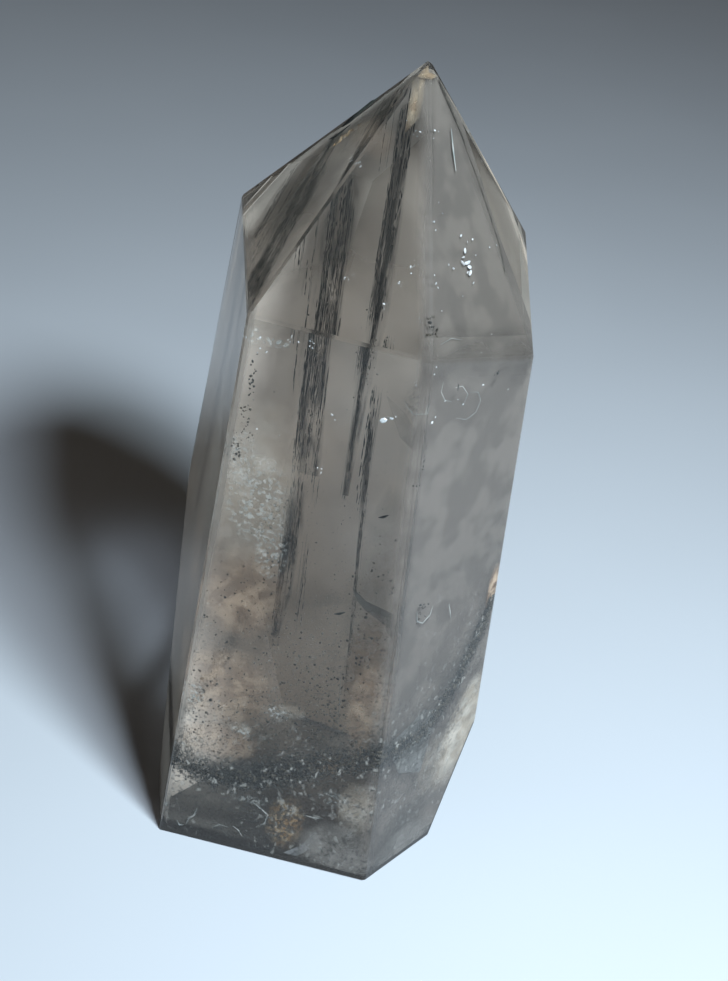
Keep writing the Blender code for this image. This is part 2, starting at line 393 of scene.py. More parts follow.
def quartz_crystal():
    obj = new_piece("quartz_crystal", quartz_blank())
    edges = obj.modifiers.new("polished edges", "BEVEL")
    edges.width = BEVEL_WIDTH * MM
    edges.segments = 1
    edges.limit_method = "ANGLE"
    edges.angle_limit = math.radians(5.0)
    plain_mesh(obj)
    obj.data.materials.append(quartz_material())
    mark = obj.data.attributes.new("edge", "FLOAT", "FACE")
    slim = [1.0 if face.area < SLIM_FACE * MM * MM else 0.0 for face in obj.data.polygons]
    mark.data.foreach_set("value", slim)
    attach(obj, "root")
    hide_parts("quartz_point")


# Tubes along edges and grains on points
def girth_of(tree):
    return add_node(tree, "GeometryNodeInputNamedAttribute", {"Name": "girth"},
                    data_type="FLOAT").outputs[0]


def give_out(tree, given, result, shapes):
    """Ends a tree: the shapes made plain mesh, with their material."""
    real = add_node(tree, "GeometryNodeRealizeInstances", {0: shapes})
    paint = add_node(tree, "GeometryNodeSetMaterial",
                     {"Geometry": real.outputs[0], "Material": given["Material"]})
    fill(tree, result, {0: paint.outputs[0]})
    return tree


def fibre_tree():
    tree, given, result = new_group(
        "needle fibres", "GeometryNodeTree",
        (("Geometry", "Geometry", None), ("Sides", "Int", 5), ("Girth", "Float", 1.0),
         ("Material", "Material", None)),
        (("Geometry", "Geometry"),))
    curve = add_node(tree, "GeometryNodeMeshToCurve", {0: given["Geometry"]})
    ring = add_node(tree, "GeometryNodeCurvePrimitiveCircle",
                    {"Radius": 1.0, "Resolution": given["Sides"]})
    tube = add_node(tree, "GeometryNodeCurveToMesh",
                    {"Curve": curve.outputs[0], "Profile Curve": ring.outputs["Curve"],
                     "Scale": multiply(tree, girth_of(tree), given["Girth"]),
                     "Fill Caps": True})
    return give_out(tree, given, result, tube.outputs[0])


def grain_tree():
    tree, given, result = new_group(
        "grains", "GeometryNodeTree",
        (("Geometry", "Geometry", None), ("Flattest", "Vector", (0.5, 0.5, 0.5)),
         ("Longest", "Vector", (1.4, 1.4, 1.4)), ("Seed", "Int", 7),
         ("Material", "Material", None)),
        (("Geometry", "Geometry"),))
    shard = add_node(tree, "GeometryNodeMeshIcoSphere", {"Radius": 1.0, "Subdivisions": 1})
    shape = add_node(tree, "FunctionNodeRandomValue",
                     {"Min": given["Flattest"], "Max": given["Longest"], "Seed": given["Seed"]},
                     data_type="FLOAT_VECTOR")
    turn = add_node(tree, "FunctionNodeRandomValue",
                    {"Max": (math.tau, math.tau, math.tau), "Seed": given["Seed"]},
                    data_type="FLOAT_VECTOR")
    size = add_node(tree, "ShaderNodeVectorMath",
                    {0: shape.outputs["Value"], "Scale": girth_of(tree)}, operation="SCALE")
    place = add_node(tree, "GeometryNodeInstanceOnPoints",
                     {"Points": given["Geometry"], "Instance": shard.outputs["Mesh"],
                      "Rotation": turn.outputs["Value"], "Scale": size.outputs[0]})
    return give_out(tree, given, result, place.outputs[0])


FIBRES = fibre_tree()
GRAINS = grain_tree()


def grow(name, tree, points, edges, girths, **values):
    """Points in metres with their girths, turned to tubes or grains and made plain mesh."""
    obj = new_piece(name)
    obj.data.from_pydata(points, edges, [])
    attribute = obj.data.attributes.new("girth", "FLOAT", "POINT")
    attribute.data.foreach_set("value", girths)
    modifier = obj.modifiers.new(tree.name, "NODES")
    modifier.node_group = tree
    by_name = {s.name: s.identifier for s in tree.interface.items_tree if s.in_out == "INPUT"}
    for key, value in values.items():
        modifier[by_name[key]] = value
    return plain_mesh(obj)


# Needles
HALF_WAY = 50.0                     # height that the needles' places are given at
# Needle groups: x from, x to, y at half height, spread in y, x run, top, lowest foot,
# highest foot, number of needles. All lean forward as they rise.
NEEDLE_LEAN = -0.135
LEFT_NEEDLES = (
    (-5.8, -4.4, 7.9, 0.3, 0.0, 97.0, 79.0, 82.0, 18),
    (-6.4, -3.7, 7.9, 0.35, 0.0, 82.0, 55.0, 60.0, 44),
    (-6.6, -3.5, 7.9, 0.35, 0.0, 66.0, 43.0, 51.0, 30),
    (-6.9, -4.7, 8.0, 0.35, 0.01, 47.0, 27.0, 38.0, 36),
    (-6.8, -5.3, 8.0, 0.4, 0.01, 38.0, 17.5, 25.0, 16),
    (-3.3, -3.0, 8.0, 0.2, 0.0, 48.0, 40.0, 44.0, 3),
    (-4.1, -3.3, 8.3, 0.3, 0.0, 39.0, 19.5, 30.0, 6),
)
RIGHT_LEAN = -0.09
RIGHT_NEEDLES = (
    (-0.4, 1.3, 7.1, 0.35, 0.0, 97.0, 62.0, 70.0, 38),
    (0.1, 0.8, 7.1, 0.4, 0.0, 72.0, 45.5, 53.0, 16),
    (2.0, 3.0, 7.2, 0.35, -0.012, 63.0, 44.0, 54.0, 20),
    (2.6, 3.0, 7.2, 0.25, -0.052, 57.0, 9.5, 24.0, 7),
)
STRAY_NEEDLES = (
    (-7.7, -7.4, 7.9, 0.1, 0.0, 84.0, 58.0, 62.0, 2),
    (-9.5, -8.7, 7.9, 0.3, 0.0, 97.0, 67.0, 72.0, 9),
    (-8.4, -8.0, 7.9, 0.1, 0.0, 71.5, 65.0, 66.0, 2),
    (-13.0, -12.5, 7.9, 0.2, 0.0, 90.0, 73.0, 75.0, 5),
    (-15.0, -14.5, 7.9, 0.2, 0.0, 90.0, 76.5, 77.5, 2),
    (-1.3, -0.8, 7.0, 0.2, 0.0, 97.0, 84.0, 88.0, 3),
    (0.4, 0.8, 6.6, 0.2, 0.0, 97.0, 86.0, 90.0, 4),
)
# Bold broken dashes and fine long threads: share of the group's count, thinnest, thickest,
# shortest, longest, mean gap
BOLD = (0.42, 0.030, 0.080, 0.25, 2.0, 0.70)
FINE = (0.8, 0.012, 0.026, 2.0, 12.0, 0.8)
NEEDLE_INSET = 0.3                  # how far the needles stay under the faces
RAGGED_TOP = (0.6, 6.0)             # least distance below that, and the most that is added
DRIFT_STEP, DRIFT_LIMIT = 0.12, 0.25
WOBBLE = 0.05
NEEDLE_BLACK = mineral("needle_black", (0.006, 0.008, 0.008), (0.030, 0.036, 0.032), 500.0, 0.3,
                       stretch=(1, 1, 0.25))


def needle_dashes(groups, lean, rng, way):
    share, thin, thick, shortest, longest, gap = way
    points, edges, girths = [], [], []
    for x0, x1, y_mid, spread, run, top, foot_low, foot_high, count in groups:
        for i in range(max(1, round(count * share))):
            x = rng.uniform(x0, x1)
            y = y_mid + rng.uniform(-spread, spread)
            foot = rng.uniform(foot_low, foot_high)

            def at(z):
                return Vector((x + run * (z - HALF_WAY), y + lean * (z - HALF_WAY), z)) * MM

            z = top
            while z > foot and depth_inside(at(z)) < NEEDLE_INSET * MM:
                z -= 0.25
            z -= RAGGED_TOP[0] + RAGGED_TOP[1] * rng.random() ** 2
            stout = rng.uniform(thin, thick)
            drift = 0.0
            while z > foot + 0.3:
                low = max(foot, z - rng.uniform(shortest, longest))
                drift += rng.uniform(-DRIFT_STEP, DRIFT_STEP)
                drift = max(-DRIFT_LIMIT, min(DRIFT_LIMIT, drift))
                aside = Vector((drift, 0.0, 0.0)) * MM
                bend = Vector((*rng.uniform(-WOBBLE, WOBBLE, 2), 0.0)) * MM
                middle = at((z + low) / 2) + bend
                start = len(points)
                points += [at(z) + aside, middle + aside, at(low) + aside]
                edges += [(start, start + 1), (start + 1, start + 2)]
                r = stout * rng.uniform(0.6, 1.3) * MM
                girths += [r * 0.5, r, r * 0.45]
                z = low - rng.exponential(gap)
    return [tuple(p) for p in points], edges, girths


def needles(name, groups, lean, seed, node=None):
    rng = np.random.default_rng(seed)
    points, edges, girths = [], [], []
    for way in (BOLD, FINE):
        more, joined, wide = needle_dashes(groups, lean, rng, way)
        edges += [(a + len(points), b + len(points)) for a, b in joined]
        points += more
        girths += wide
    obj = grow(name, FIBRES, points, edges, girths, Sides=5, Material=NEEDLE_BLACK)
    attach(obj, "root")
    if node:
        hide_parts(node)


# Thin sheets. The attribute cover says how much each point of a sheet hides.
def new_sheets():
    bm = bmesh.new()
    return bm, bm.verts.layers.float.new("cover")


def add_vert(bm, layer, place, cover):
    vert = bm.verts.new(place * MM)
    vert[layer] = cover
    return vert


def join_rows(bm, rows):
    for low, high in zip(rows, rows[1:]):
        for k in range(len(low) - 1):
            bm.faces.new((low[k], low[k + 1], high[k + 1], high[k]))


def add_net(bm, layer, cells, at):
    """A square net of faces. For s and t from -1 to 1, at gives the place and the cover."""
    rows = []
    for j in range(cells + 1):
        row = []
        for i in range(cells + 1):
            place, cover = at(2.0 * i / cells - 1.0, 2.0 * j / cells - 1.0)
            row.append(add_vert(bm, layer, place, cover))
        rows.append(row)
    join_rows(bm, rows)


# Shade between the needles: strips of (height, x from, x to), then y at half height, lean
# and strength
NEEDLE_SHADE = (
    (((95, -5.4, -4.5), (83, -5.8, -4.3), (80, -6.2, -3.5), (75.5, -7.0, -3.6), (66.5, -7.4, -4.0),
      (57, -6.4, -3.7), (52.8, -6.2, -3.5), (47.5, -5.6, -3.3)), 7.9, NEEDLE_LEAN, 0.9),
    (((47, -6.9, -4.5), (40, -6.9, -4.5), (33.7, -6.7, -4.7), (26.8, -6.7, -5.1),
      (19.5, -6.6, -6.0)), 7.9, NEEDLE_LEAN, 1.0),
    (((96, -0.5, 0.8), (85, -0.5, 1.1), (77, -0.4, 1.4), (66, -0.3, 1.6), (56, 0.0, 1.1),
      (46, 0.1, 0.8)), 7.1, RIGHT_LEAN, 1.0),
    (((63, 1.7, 2.7), (60, 1.9, 2.9), (52, 2.0, 2.8), (43, 2.6, 3.1), (30, 3.4, 3.8)),
     7.1, RIGHT_LEAN, 0.8),
)
SHADE_STEP = 1.5
SHADE_BEHIND = 0.7                  # distance behind the needles' middle
SHADE_FADE = 8.0                    # height over which a strip fades out towards its top
SHADE_WAVE = 0.12
SHADE_PROFILE = ((-0.12, 0.0), (0.12, 1.0), (0.5, 1.0), (0.88, 1.0), (1.12, 0.0))


def needle_shade():
    mat = mineral("needle_shade", (0.045, 0.053, 0.050), (0.085, 0.092, 0.085), 900.0, 0.7,
                  patchy(1100.0, 0.35, 0.65, 0.12, 0.70, (1, 1, 0.1)), (1, 1, 0.1))
    bm, layer = new_sheets()
    for rows, y_mid, lean, strength in NEEDLE_SHADE:
        levels, lefts, rights = zip(*rows[::-1])
        strip = []
        for height in np.arange(levels[0], levels[-1], SHADE_STEP):
            left = np.interp(height, levels, lefts)
            right = np.interp(height, levels, rights)
            y = y_mid + SHADE_BEHIND + lean * (height - HALF_WAY)
            fade = min(1.0, (levels[-1] - height) / SHADE_FADE)
            row = []
            for share, cover in SHADE_PROFILE:
                wave = SHADE_WAVE * noise.noise(Vector((height, share, 3)))
                x = left + (right - left) * share + wave
                row.append(add_vert(bm, layer, Vector((x, y, height)), cover * strength * fade))
            strip.append(row)
        join_rows(bm, strip)
    trimmed_sheet("needle_shade", bm, 0.5, mat)


# Ways that a patch lies, across and up: as the front face, the right face or the phantom
SIDEWAYS = (1.0, 0.0, 0.0)
UPRIGHT = (0.0, 0.0, 1.0)
ALONG_RIGHT = (0.56, 0.83, 0.0)
PHANTOM_UP = (0.0, 0.61, 0.79)
FRONTAL = (SIDEWAYS, UPRIGHT)
RIGHTWARD = (ALONG_RIGHT, UPRIGHT)
SLOPING = (SIDEWAYS, PHANTOM_UP)
PATCH_CELLS = 10


def patches(name, mat, table):
    """Soft round patches: middle, half width and half height, ways, strength."""
    bm, layer = new_sheets()
    for centre, half, ways, strength in table:
        u, v = (Vector(way).normalized() for way in ways)

        def at(s, t):
            place = Vector(centre) + u * (s * half[0]) + v * (t * half[1])
            place += u.cross(v) * 0.25 * noise.noise(place * 0.35)
            return place, strength * max(0.0, 1.0 - (s * s + t * t)) ** 0.6

        add_net(bm, layer, PATCH_CELLS, at)
    trimmed_sheet(name, bm, 0.4, mat)


def strokes(name, mat, table):
    """Tapered strokes: a chain of points and its thickness."""
    points, edges, girths = [], [], []
    for chain, thick in table:
        start = len(points)
        last = len(chain) - 1
        points += [tuple(Vector(p) * MM) for p in chain]
        edges += [(start + k, start + k + 1) for k in range(last)]
        girths += [thick * 0.65 * MM * (0.3 if k in (0, last) else 1.0) for k in range(last + 1)]
    dressed(grow(name, FIBRES, points, edges, girths, Sides=8, Material=mat), None)


def plates(name, mat, outlines, rim=0.8):
    """Flat plates: an outline and its strength. The rim is the share of it at the outline."""
    bm, layer = new_sheets()
    for outline, strength in outlines:
        ring = [add_vert(bm, layer, Vector(p), strength * rim) for p in outline]
        middle = sum((Vector(p) for p in outline), Vector()) / len(outline)
        hub = add_vert(bm, layer, middle, strength)
        for a, b in zip(ring, ring[1:] + ring[:1]):
            bm.faces.new((a, b, hub))
    trimmed_sheet(name, bm, 0.25, mat)


VEIL_CELLS = 44
VEIL_HALF_WIDTH, VEIL_HALF_HEIGHT = 30.0, 55.0
VEIL_ROLL, VEIL_ROLL_SCALE = 0.3, 0.09


def share_between(value, start, full):
    share = min(1.0, max(0.0, (value - start) / (full - start)))
    return share * share * (3.0 - 2.0 * share)


def face_veils(name, mat, table, cells=VEIL_CELLS, profile=None):
    """Veils close under a face: which face, how deep, strength, then the planes beside it that
    the veil keeps away from, each with the distances where it starts and is full."""
    bm, layer = new_sheets()
    for number, depth, strength, beside in table:
        outward = PLANES[number][1]
        level = outward.cross(Vector((0.0, 0.0, 1.0))).normalized()
        steep = outward.cross(level)
        middle = sum((Vector(p) for p in FACES[number]), Vector()) / 3.0 - outward * depth

        def at(s, t):
            place = middle + level * (VEIL_HALF_WIDTH * s) + steep * (VEIL_HALF_HEIGHT * t)
            place += outward * VEIL_ROLL * noise.noise(place * VEIL_ROLL_SCALE)
            cover = strength * (profile(place) if profile else 1.0)
            for other, start, full in beside:
                spot, away = PLANES[other]
                cover *= share_between((spot / MM - place).dot(away), start, full)
            return place, cover

        add_net(bm, layer, cells, at)
    return trimmed_sheet(name, bm, 0.5, mat)


# Dark dashes in the stone and the brown streak along the right edge of the tip
DARK_DASHES = (
    (((6.1, -13.7, 53.5), (6.6, -13.7, 53.7), (7.15, -13.7, 54.1)), 0.29),
    (((2.9, -14.6, 39.1), (3.5, -14.6, 39.3), (4.2, -14.5, 39.7)), 0.29),
    (((11.4, -13.5, 71.1), (11.45, -13.45, 70.3)), 0.40),
    (((-5.9, 0.0, 90.7), (-5.2, 0.1, 91.5), (-4.3, 0.4, 92.6), (-3.2, 0.6, 93.8),
      (-2.5, 0.6, 94.4)), 0.52),
    (((-7.0, -0.4, 89.2), (-6.2, -0.6, 89.8), (-4.9, -0.4, 91.2)), 0.30),
    (((14.4, -12.3, 35.9), (15.3, -11.2, 35.2)), 0.12),
)
EDGE_STREAK = (
    (((2.9, 0.9, 97.2), (4.3, 1.0, 94.9), (6.6, 1.2, 91.3)), 0.44),
    (((5.4, 1.1, 93.2), (8.8, 0.7, 87.6), (10.8, 0.2, 84.2)), 0.22),
    (((8.0, 0.8, 88.9), (10.8, 0.1, 84.2), (12.5, -0.6, 81.3), (13.6, -2.0, 79.0)), 0.26),
)


def dark_dashes():
    strokes("dark_dashes", NEEDLE_BLACK, DARK_DASHES)


def edge_streak():
    brown = mineral("streak_brown", (0.03, 0.026, 0.02), (0.09, 0.078, 0.06), 900.0, 0.7)
    strokes("edge_streak", brown, EDGE_STREAK)


# Specks and dust. The phantom is a slope inside the stone, the front of its earlier tip.
PHANTOM_RISE = 1.3
PHANTOM_FRONT = (-21.5, 12.0)       # y and z where it starts, close to the front face


def on_phantom(x, z, off):
    """The point of the phantom at a place across and a height, moved off it towards the front."""
    y_start, z_start = PHANTOM_FRONT
    y = y_start + (z - z_start) / PHANTOM_RISE
    return Vector((x, y - off * PHANTOM_UP[2], z + off * PHANTOM_UP[1]))


# Speck clusters on the phantom: x, z, spread in x, spread in z, count, smallest, largest
PHANTOM_SPECKS = (
    (-7.7, 33.6, 3.5, 4.0, 70, 0.08, 0.24),
    (-12.2, 20.0, 2.2, 3.0, 70, 0.09, 0.30),
    (7.8, 27.0, 1.8, 6.0, 130, 0.08, 0.26),
    (3.0, 22.9, 2.6, 4.0, 170, 0.08, 0.24),
    (-3.0, 17.0, 7.0, 2.5, 260, 0.08, 0.22),
    (-7.0, 27.0, 4.5, 3.5, 70, 0.08, 0.20),
    (0.0, 30.0, 12.0, 9.0, 160, 0.06, 0.18),
)
# Speck clusters elsewhere: x, y, z, spreads, count, smallest, largest
LOOSE_SPECKS = (
    (-7.8, 3.0, 43.9, 0.9, 1.0, 1.0, 26, 0.10, 0.26),
    (-6.3, -0.9, 38.8, 0.9, 1.0, 3.0, 30, 0.08, 0.22),
    (-9.7, -14.0, 67.6, 0.25, 0.3, 1.2, 26, 0.07, 0.2),
    (-10.0, -14.0, 62.0, 0.35, 0.3, 1.4, 28, 0.07, 0.2),
    (-11.3, -14.0, 58.2, 0.8, 0.3, 1.1, 34, 0.08, 0.22),
    (8.0, -14.9, 77.3, 0.2, 0.3, 1.0, 16, 0.10, 0.24),
    (7.7, -0.8, 38.9, 1.4, 1.0, 0.8, 12, 0.08, 0.18),
    (15.1, -8.1, 70.5, 0.3, 0.3, 0.3, 8, 0.08, 0.2),
    (2.6, -14.3, 72.0, 0.7, 0.5, 1.2, 18, 0.08, 0.16),
    (9.5, -17.1, 62.5, 0.08, 0.08, 1.8, 18, 0.06, 0.15),
    (12.0, -14.8, 41.2, 0.7, 0.7, 0.9, 26, 0.08, 0.18),
    (-2.0, -6.0, 50.0, 8.0, 5.0, 18.0, 60, 0.05, 0.13),
)
SPECK_BLACK = mineral("speck_black", (0.010, 0.011, 0.009), (0.06, 0.05, 0.035), 900.0, 0.6)
RIGHT_START, REAR_START, REAR_END = 296, 354, 500   # bearings on the margin
FINE_SPECKS = 900                   # strewn over the whole phantom
MARGIN_STEP = 0.5                   # degrees between the groups of grains on the margin
MARGIN_DEPTHS = (0.42, 0.55, 0.75, 1.2)


def margin_grains(bearing):
    """How many grains stand at a bearing of the margin, how widely spread, and the largest."""
    if RIGHT_START < bearing < REAR_START:
        return 15, 0.32, 0.34
    if REAR_START < bearing < REAR_END:
        return 5, 1.3, 0.26
    return 9, 0.6, 0.26


def speck_points(rng):
    points, sizes = [], []

    def add(point, low, high):
        if depth_inside(point * MM) > 0.5 * MM:
            points.append(tuple(point * MM))
            sizes.append(rng.uniform(low, high) * MM * (0.7 + 0.3 * rng.random()))

    for x, z, sx, sz, count, low, high in PHANTOM_SPECKS:
        for i in range(count):
            add(on_phantom(rng.normal(x, sx), rng.normal(z, sz), rng.normal(0.0, 0.5)),
                low, high)
    for x, y, z, sx, sy, sz, count, low, high in LOOSE_SPECKS:
        for i in range(count):
            add(Vector((rng.normal(x, sx), rng.normal(y, sy), rng.normal(z, sz))), low, high)
    for i in range(FINE_SPECKS):
        add(on_phantom(rng.uniform(-15.0, 14.0), rng.triangular(11.0, 16.0, 44.0),
                       rng.normal(0.0, 0.4)), 0.04, 0.12)
    for bearing, height, half in phantom_margin(MARGIN_STEP):
        count, spread, largest = margin_grains(bearing)
        for i in range(count):
            rise = rng.normal(0.2, spread) * half
            depth = rng.choice(MARGIN_DEPTHS) + rng.uniform(0.0, 0.2)
            place = under_faces(bearing + rng.uniform(-0.3, 0.3), height + rise, depth)
            add(place, 0.10, largest)
    return points, sizes


def tourmaline_specks():
    points, sizes = speck_points(np.random.default_rng(SEED + 11))
    obj = grow("tourmaline_specks", GRAINS, points, [], sizes, Seed=11, Material=SPECK_BLACK,
               Flattest=(0.5, 0.5, 0.5), Longest=(1.5, 1.2, 1.2))
    dressed(obj, None)


def dust(name, mat, count, largest, seed, low, high):
    """Fine grains strewn through the stone and thicker on the phantom."""
    rng = np.random.default_rng(SEED + seed)
    points, sizes = [], []
    for i in range(count):
        if rng.random() < 0.5:
            p = on_phantom(rng.uniform(-17.0, 16.0), rng.triangular(10.0, 20.0, 52.0),
                           rng.normal(0.0, 0.8))
        else:
            p = Vector((rng.uniform(-18.0, 18.0), rng.uniform(-20.0, 8.0),
                        rng.triangular(low, low, high)))
        if depth_inside(p * MM) > 0.4 * MM:
            points.append(tuple(p * MM))
            sizes.append(rng.uniform(0.02, largest) * MM)
    dressed(grow(name, GRAINS, points, [], sizes, Seed=seed, Material=mat))


def pale_dust():
    white = mineral("dust_white", (0.45, 0.45, 0.43), (0.70, 0.68, 0.64), rough=0.6)
    dust("pale_dust", white, 1300, 0.060, 6, 3.0, 90.0)


# The dark margin of the phantom: walls with their depth and strength, the steps up a wall as
# shares of the margin's half height, and how faint it is at some bearings
WALL_STEPS = (-1.35, -0.9, -0.4, 0.2, 0.8, 1.5, 2.4)
WALL_COVER = (0.0, 0.9, 1.0, 1.0, 0.8, 0.35, 0.0)
WALL_DEPTHS = ((1.0, 0.9), (1.9, 0.9), (3.0, 0.8))
FAINT_AT = (205, 225, 300, 348, 356, 480, 505)
FAINTNESS = (0.6, 1.0, 0.26, 0.26, 0.10, 0.10, 0.5)
WALL_TURN = 3.0                     # degrees between a wall's uprights
WALL_WAVE = 0.9


def phantom_rim():
    """Three thin walls of dust, one behind another, that follow the margin under the faces."""
    mat = mineral("phantom_dust", (0.018, 0.022, 0.022), (0.050, 0.054, 0.052), 500.0,
                  cover=patchy(2200.0, 0.36, 0.60, 0.25, 1.0))
    bm, layer = new_sheets()
    for depth, share in WALL_DEPTHS:
        rows = []
        for bearing, height, half in phantom_margin(WALL_TURN):
            row = []
            faint = float(np.interp(bearing, FAINT_AT, FAINTNESS))
            for step, cover in zip(WALL_STEPS, WALL_COVER):
                wave = noise.noise(Vector((bearing * 0.09, step * 0.7, depth)))
                rise = step * half + WALL_WAVE * wave
                place = under_faces(bearing, height + rise, depth)
                row.append(add_vert(bm, layer, place, cover * share * faint))
            rows.append(row)
        for row, following in zip(rows, rows[1:] + rows[:1]):
            for k in range(len(WALL_STEPS) - 1):
                bm.faces.new((row[k], following[k], following[k + 1], row[k + 1]))
    obj = new_piece("phantom_rim", bm)
    obj.data.materials.append(mat)
    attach(obj, "root")
    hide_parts("phantom_band")


GRAIN_STEPS = (-12.0, -2.5, -1.0, 1.5, 4.0, 12.0, 30.0)    # millimetres above the margin
GRAIN_COVER = (0.50, 0.55, 1.0, 1.0, 0.42, 0.22, 0.0)


def around_margin(p):
    """Cover of the grain: full on the phantom's margin, half below it, thinning out above."""
    first = PHANTOM_MARGIN[0][0]
    bearing = (math.degrees(math.atan2(p.y, p.x)) - first) % 360.0
    above = p.z - np.interp(bearing, [row[0] - first for row in PHANTOM_MARGIN],
                            [row[1] for row in PHANTOM_MARGIN])
    return float(np.interp(above, GRAIN_STEPS, GRAIN_COVER))


# Fine grain just under the front faces, in patches too small for single grains
GRAIN_CELLS = 80
FRONT_GRAIN = ((FRONT, 0.7, 1.0, ()),)
RIGHT_GRAIN = ((RIGHT, 0.7, 0.7, ((BEVEL_RIGHT, 1.5, 4.5),)),)
PALE_GRAIN = ((FRONT, 0.6, 0.7, ()), (RIGHT, 0.6, 0.7, ()))
GRAIN_DARK = mineral("grain_dark", (0.012, 0.014, 0.013), (0.05, 0.048, 0.042), 900.0,
                     cover=patchy(2300.0, 0.535, 0.60, 0.0, 0.95))


def pale_grain():
    mat = mineral("grain_pale", (0.34, 0.33, 0.30), (0.62, 0.60, 0.55), 900.0, 0.7,
                  patchy(1500.0, 0.58, 0.68, 0.0, 0.8, (1, 1, 0.6)))
    face_veils("pale_grain", mat, PALE_GRAIN, GRAIN_CELLS, around_margin)


# Stains, frost and pale patches
TAN_STAINS = (
    ((-9.2, -4.4, 34.5), (5.4, 7.0), SLOPING, 0.45),
    ((-9.6, -13.0, 23.0), (6.5, 6.0), SLOPING, 0.45),
    ((-9.0, -18.0, 16.5), (5.5, 2.8), SLOPING, 0.5),
    ((7.4, -8.5, 28.8), (2.8, 9.0), SLOPING, 1.0),
    ((9.0, -15.0, 20.6), (1.8, 3.2), SLOPING, 0.8),
    ((8.6, -18.4, 27.5), (2.2, 8.0), FRONTAL, 0.5),
    ((19.9, -4.6, 38.6), (1.0, 4.2), RIGHTWARD, 1.3),
    ((-1.8, 0.2, 89.4), (1.8, 2.6), FRONTAL, 0.22),
    ((14.5, -3.0, 66.0), (2.6, 7.0), RIGHTWARD, 0.18),
    ((8.0, -9.0, 46.0), (4.0, 5.0), RIGHTWARD, 0.2),
)
ORANGE_STAINS = (
    ((-5.4, -1.5, 90.0), (0.7, 2.6), ((0.3, 0.6, 0.7), (0.8, 0.3, 0.5)), 0.9),
    ((1.2, -20.7, 6.4), (2.6, 5.0), FRONTAL, 0.75),
    ((5.5, -20.3, 17.5), (1.6, 2.0), FRONTAL, 0.4),
)
OLIVE_SHADE = (
    ((8.0, -13.0, 48.0), (3.4, 10.0), FRONTAL, 0.42),
    ((6.8, -12.0, 38.0), (3.2, 6.0), FRONTAL, 0.30),
    ((15.4, -16.0, 4.5), (5.0, 5.5), RIGHTWARD, 0.55),
)
FROST = (
    ((-8.7, -8.0, 49.6), (4.0, 6.5), FRONTAL, 0.8),
    ((-10.6, -9.0, 55.0), (2.0, 4.5), FRONTAL, 0.6),
    ((-6.1, -8.0, 43.0), (2.2, 4.6), FRONTAL, 0.7),
    ((-10.0, -14.0, 72.6), (0.9, 1.1), FRONTAL, 1.0),
    ((-7.6, -14.0, 72.4), (1.6, 0.6), FRONTAL, 0.8),
    ((-11.3, -14.0, 58.4), (1.0, 1.7), FRONTAL, 1.0),
    ((-12.6, -17.0, 22.8), (1.3, 2.0), FRONTAL, 1.4),
    ((-11.5, -17.0, 15.2), (1.3, 1.6), FRONTAL, 1.2),
    ((-1.8, -17.0, 23.1), (2.4, 1.2), FRONTAL, 0.8),
    ((-6.4, -17.2, 18.6), (1.4, 0.6), FRONTAL, 1.5),
    ((-4.0, -20.4, 8.8), (2.6, 0.9), FRONTAL, 0.8),
    ((7.0, -20.4, 12.6), (2.4, 1.4), FRONTAL, 0.8),
    ((-15.0, -20.2, 4.8), (0.5, 1.3), FRONTAL, 1.4),
    ((19.6, -6.0, 19.6), (1.6, 1.6), RIGHTWARD, 1.4),
    ((16.6, -7.0, 6.2), (1.5, 1.0), RIGHTWARD, 1.3),
    ((12.4, -15.0, 24.4), (1.2, 0.6), RIGHTWARD, 1.2),
    ((8.5, -8.6, 68.0), (3.4, 3.0), RIGHTWARD, 0.5),
)
PALE_PATCHES = (
    ((20.2, -7.2, 16.5), (4.2, 10.0), (ALONG_RIGHT, (0.12, 0.2, 1.0)), 0.95),
    ((9.8, -20.6, 11.6), (2.4, 5.2), FRONTAL, 0.50),
    ((-10.6, -18.8, 14.0), (4.6, 4.0), FRONTAL, 0.30),
    ((17.6, -11.4, 13.5), (3.4, 5.5), RIGHTWARD, 0.35),
    ((-9.2, -7.0, 51.0), (5.4, 12.0), FRONTAL, 0.50),
    ((-0.2, -19.0, 24.8), (2.0, 1.2), FRONTAL, 0.35),
    ((-6.1, -19.6, 20.5), (1.6, 1.0), FRONTAL, 0.5),
)
FOOT_HAZE = (
    ((8.4, -21.1, 3.6), (5.4, 5.5), FRONTAL, 1.0),
    ((16.2, -15.6, 1.5), (6.0, 4.0), RIGHTWARD, 0.8),
)


def tan_stains():
    mat = mineral("tan_stain", (0.41, 0.25, 0.15), (0.58, 0.42, 0.29), 500.0,
                  cover=patchy(500.0, 0.30, 0.70, 0.30, 0.95))
    patches("tan_stains", mat, TAN_STAINS)


def orange_stains():
    mat = mineral("orange_stain", (0.30, 0.17, 0.07), (0.46, 0.33, 0.19), 900.0, 0.7,
                  patchy(1900.0, 0.42, 0.62, 0.10, 1.0))
    patches("orange_stains", mat, ORANGE_STAINS)


def olive_shade():
    mat = mineral("olive_shade", (0.06, 0.055, 0.045), (0.09, 0.085, 0.07), 200.0,
                  cover=patchy(200.0, 0.2, 0.7, 0.5, 0.8))
    patches("olive_shade", mat, OLIVE_SHADE)


def frost():
    mat = mineral("frost_white", (0.38, 0.40, 0.38), (0.62, 0.62, 0.58), 900.0, 0.6,
                  patchy(2300.0, 0.46, 0.66, 0.04, 0.80))
    patches("frost", mat, FROST)


def pale_patches():
    mat = mineral("pale_beige", (0.60, 0.50, 0.39), (0.80, 0.71, 0.60), 500.0,
                  cover=patchy(260.0, 0.25, 0.75, 0.45, 0.95))
    patches("pale_patches", mat, PALE_PATCHES)


def foot_haze():
    mat = mineral("haze_grey", (0.20, 0.18, 0.158), (0.28, 0.255, 0.23), 300.0,
                  cover=patchy(400.0, 0.3, 0.7, 0.6, 1.0))
    patches("foot_haze", mat, FOOT_HAZE)


